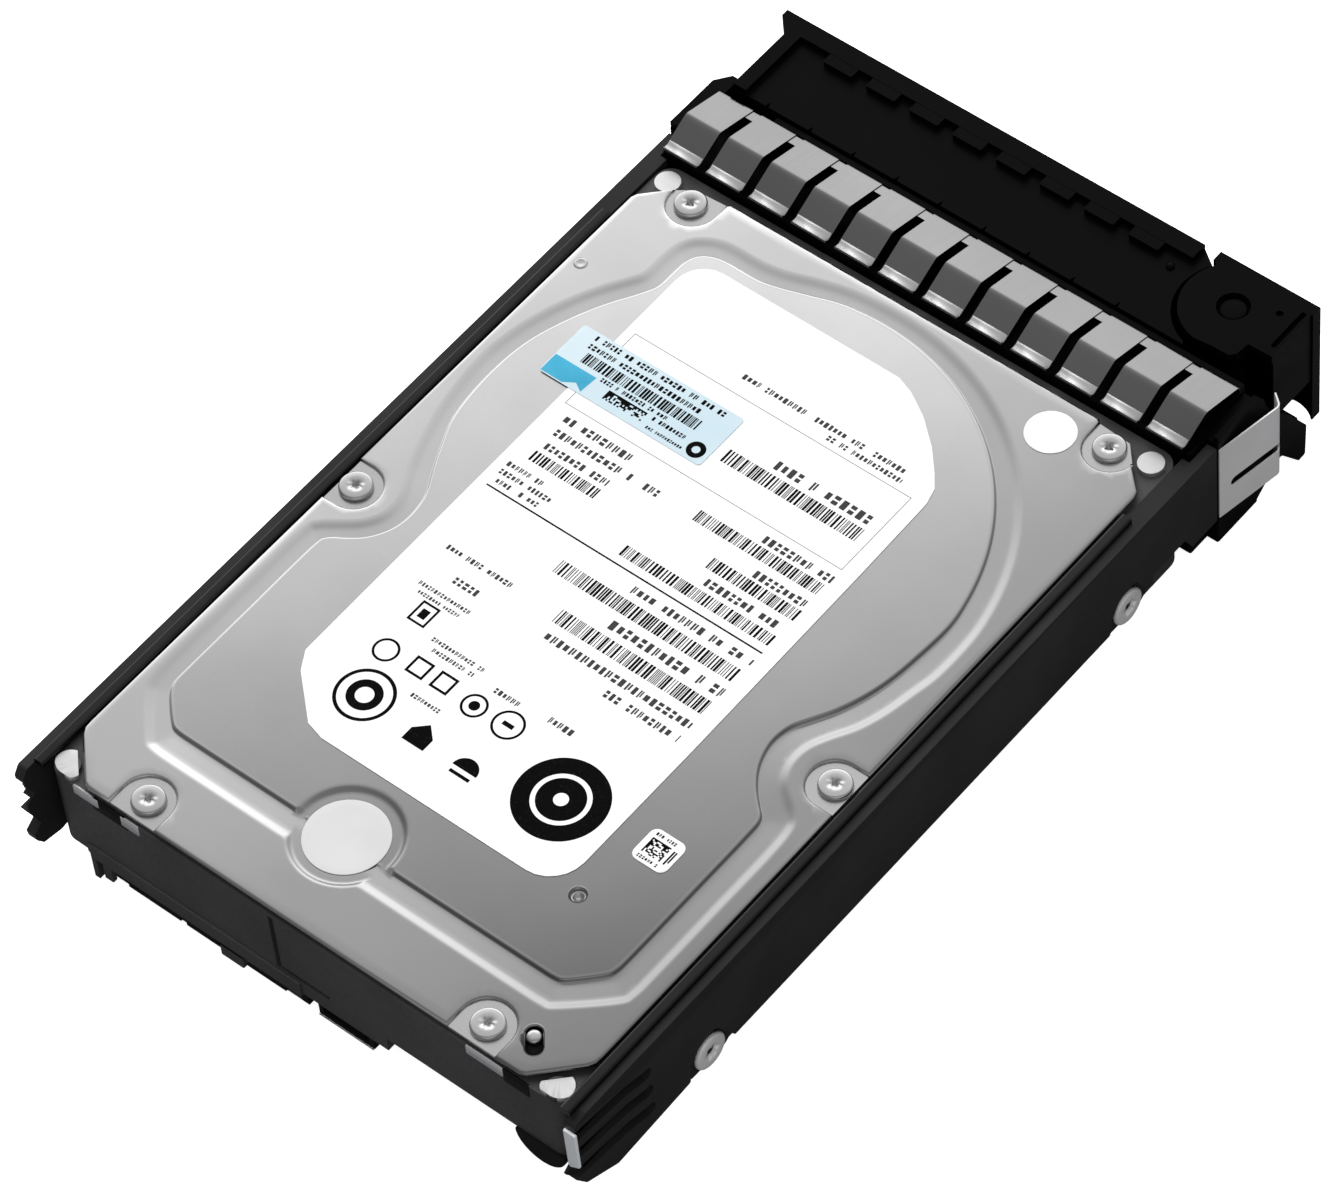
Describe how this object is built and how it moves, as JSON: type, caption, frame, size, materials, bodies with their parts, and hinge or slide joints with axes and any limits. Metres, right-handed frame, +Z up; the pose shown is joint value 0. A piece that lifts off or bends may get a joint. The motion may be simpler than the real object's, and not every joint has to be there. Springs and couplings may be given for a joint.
{
  "type": "hard disk drive in hot-plug carrier",
  "caption": "Sealed disk drive with spinning platters and swinging heads, held in a slide-in carrier with a front ejector lever and release latch.",
  "frame": {"origin": "on the spindle axis, in the plane of the drive's underside", "axes": "+Y towards the carrier's front along its length, +Z up towards the label side, +X to the side with the release latch"},
  "size_m": [0.1108, 0.1848, 0.0298],
  "materials": {
    "black_casting": "satin",
    "stamped_steel": "satin",
    "bright_steel": "satin",
    "black_plastic": "satin",
    "grey_plastic": "satin",
    "paper": "matte",
    "black_rubber": "matte",
    "disk_mirror": "polished",
    "aluminium": "satin",
    "copper": "satin",
    "magnet_plating": "polished",
    "board_green": "satin",
    "chip_black": "matte",
    "clear_plastic": "gloss"
  },
  "bodies": {
    "carrier": {"base_casting": "black_casting", "top_cover": "stamped_steel", "cover_gasket": "black_rubber", "motor_base": "aluminium", "motor_stator": "copper", "spindle_shaft": "bright_steel", "pivot_bearing": "bright_steel", "magnet_plate_bottom": "magnet_plating", "magnet_plate_top": "magnet_plating", "voice_coil_magnet": "magnet_plating", "parking_ramp": "paper", "flex_cable": "copper", "flex_bracket": "chip_black", "recirculation_filter": "paper", "circuit_board": "board_green", "board_pad": "black_rubber", "interface_connector": "chip_black", "service_header": "chip_black", "controller_chip": "chip_black", "motor_driver_chip": "chip_black", "main_label": "paper", "service_sticker": "paper", "code_sticker": "paper", "round_sticker": "paper", "breather_seal": "bright_steel", "right_rail": "grey_plastic", "left_rail": "grey_plastic", "light_pipe_right": "clear_plastic", "light_pipe_left": "clear_plastic", "front_frame": "black_plastic", "contact_strip": "bright_steel", "side_contact": "bright_steel", "lever_pin": "bright_steel", "lever_spring": "bright_steel", "cover_screw_1": "bright_steel", "cover_screw_2": "bright_steel", "cover_screw_3": "bright_steel", "cover_screw_4": "bright_steel", "cover_screw_5": "bright_steel", "cover_screw_6": "bright_steel", "rail_screw_right_rear": "bright_steel", "rail_screw_right_front": "bright_steel", "rail_screw_left_rear": "bright_steel", "rail_screw_left_front": "bright_steel"},
    "rotor": {"spindle_hub": "aluminium", "platter_lower": "disk_mirror", "platter_upper": "disk_mirror", "platter_spacer": "aluminium", "disk_clamp": "bright_steel"},
    "actuator": {"actuator_arm_block": "aluminium", "voice_coil": "copper", "head_suspension_1": "bright_steel", "head_suspension_2": "bright_steel", "head_suspension_3": "bright_steel", "head_suspension_4": "bright_steel"},
    "lever": {"ejector_lever": "black_plastic", "button_pin": "black_plastic"},
    "button": {"release_button": "black_plastic"}
  },
  "joints": [
    {"name": "spindle_spin", "type": "hinge", "parent": "carrier", "child": "rotor", "pos_m": [0, 0, 0.012], "axis": [0, 0, 1], "continuous": true},
    {"name": "actuator_swing", "type": "hinge", "parent": "carrier", "child": "actuator", "pos_m": [0.02, -0.0535, 0.014], "axis": [0, 0, 1], "range_deg": [-34, 0]},
    {"name": "lever_hinge", "type": "hinge", "parent": "carrier", "child": "lever", "pos_m": [-0.046, 0.0791, 0.014], "axis": [0, 0, 1], "range_deg": [0, 50]},
    {"name": "button_rock", "type": "hinge", "parent": "lever", "child": "button", "pos_m": [0.0413, 0.0777, 0.014], "axis": [0, 0, 1], "range_deg": [-4, 0]}
  ]
}
